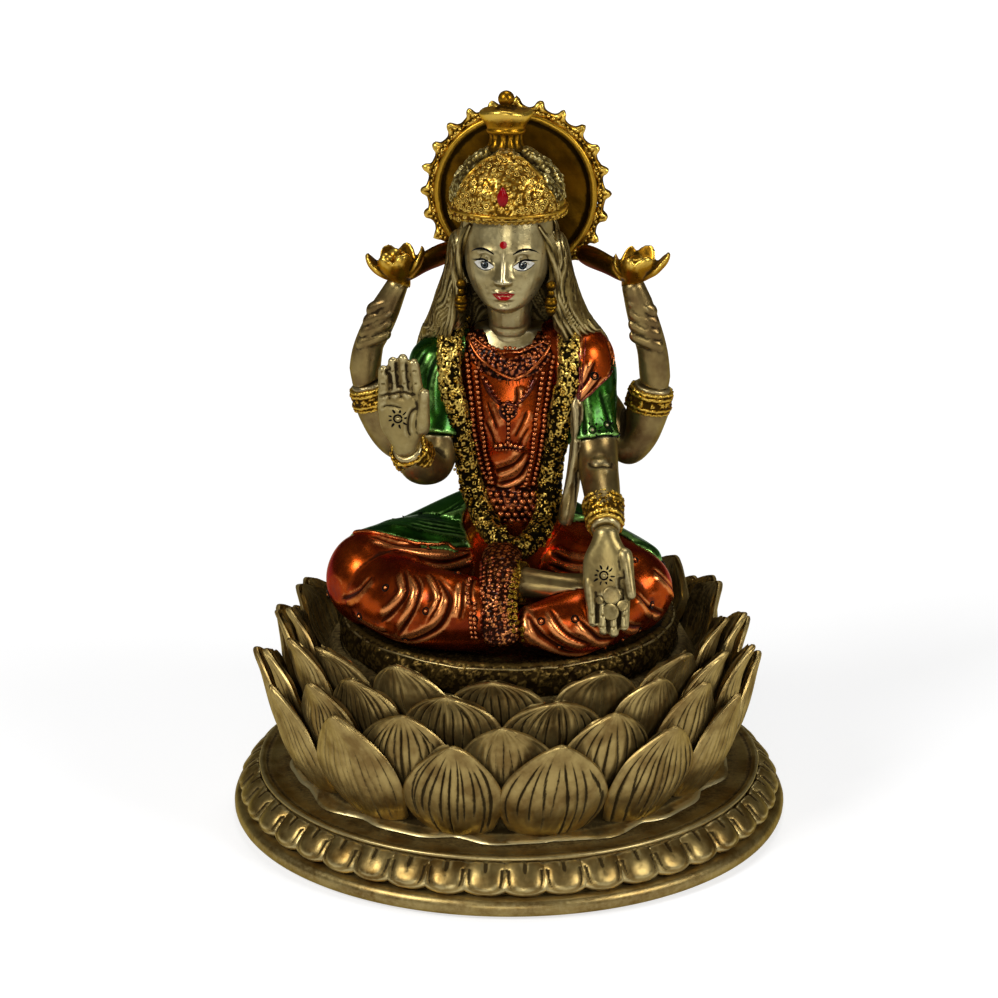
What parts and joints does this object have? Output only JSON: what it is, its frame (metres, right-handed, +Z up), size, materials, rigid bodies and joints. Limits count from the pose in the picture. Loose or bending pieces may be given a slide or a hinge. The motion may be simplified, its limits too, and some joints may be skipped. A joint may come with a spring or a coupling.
{
  "type": "hindu deity statue",
  "caption": "Seated four-armed goddess statuette with halo, crown and garland on a petalled lotus and a round plinth.",
  "frame": {"origin": "centre of the underside, on the felt pad's lower face", "axes": "+Z up through the figure to the crown's ball, the figure faces -Y, +X is the figure's own left"},
  "size_m": [0.114, 0.114, 0.1501],
  "materials": {
    "antique_bronze_resin": "cold-cast bronze resin, dark antique wash in the recesses, satin",
    "black_gold_garland_paint": "black-brown paint with gold picked out on the high spots",
    "champagne_skin_paint": "pale metallic paint over cast resin, satin",
    "copper_lacquer": "translucent copper-orange lacquer over metallic base, glossy",
    "felt": "black felt, matt",
    "garnet_bead_paint": "dark garnet-brown paint over cast beads",
    "gold_paint": "gold metallic paint over cast resin, dark wash in the recesses",
    "green_lacquer": "translucent green lacquer over metallic base, glossy",
    "red_enamel_paint": "red enamel paint, glossy",
    "steel_pin": "plain drawn steel"
  },
  "bodies": {
    "root": {"anklet": "gold_paint", "bead_strings_inner": "garnet_bead_paint", "bead_strings_outer": "garnet_bead_paint", "coins": "gold_paint", "collar": "garnet_bead_paint", "crown_band": "gold_paint", "crown_dome": "gold_paint", "crown_finial": "gold_paint", "crown_gem": "red_enamel_paint", "crown_tiara": "gold_paint", "earrings": "gold_paint", "felt_pad": "felt", "figure_pin": "steel_pin", "front_left_arm": "champagne_skin_paint", "front_left_bangles": "gold_paint", "front_left_hand": "champagne_skin_paint", "front_right_arm": "champagne_skin_paint", "front_right_bangles": "gold_paint", "front_right_hand": "champagne_skin_paint", "garland": "black_gold_garland_paint", "hair": "antique_bronze_resin", "halo_disc": "gold_paint", "halo_rays": "gold_paint", "head": "champagne_skin_paint", "held_lotus_left": "gold_paint", "held_lotus_right": "gold_paint", "left_leg": "copper_lacquer", "left_sleeve": "green_lacquer", "lotus_core": "antique_bronze_resin", "lotus_stalk_left": "gold_paint", "lotus_stalk_right": "gold_paint", "pendant": "garnet_bead_paint", "petals_inner": "antique_bronze_resin", "petals_outer": "antique_bronze_resin", "petals_second": "antique_bronze_resin", "petals_third": "antique_bronze_resin", "pleat_panel": "garnet_bead_paint", "plinth_body": "antique_bronze_resin", "plinth_tongues": "antique_bronze_resin", "rear_left_arm": "champagne_skin_paint", "rear_left_bangles": "gold_paint", "rear_left_hand": "champagne_skin_paint", "rear_right_arm": "champagne_skin_paint", "rear_right_bangles": "gold_paint", "rear_right_hand": "champagne_skin_paint", "right_foot": "champagne_skin_paint", "right_leg": "copper_lacquer", "right_sleeve": "green_lacquer", "seat_cushion": "antique_bronze_resin", "shawl": "green_lacquer", "shoulder_drape": "copper_lacquer", "side_fold": "antique_bronze_resin", "torso": "copper_lacquer", "waist_belt": "garnet_bead_paint"}
  },
  "joints": []
}
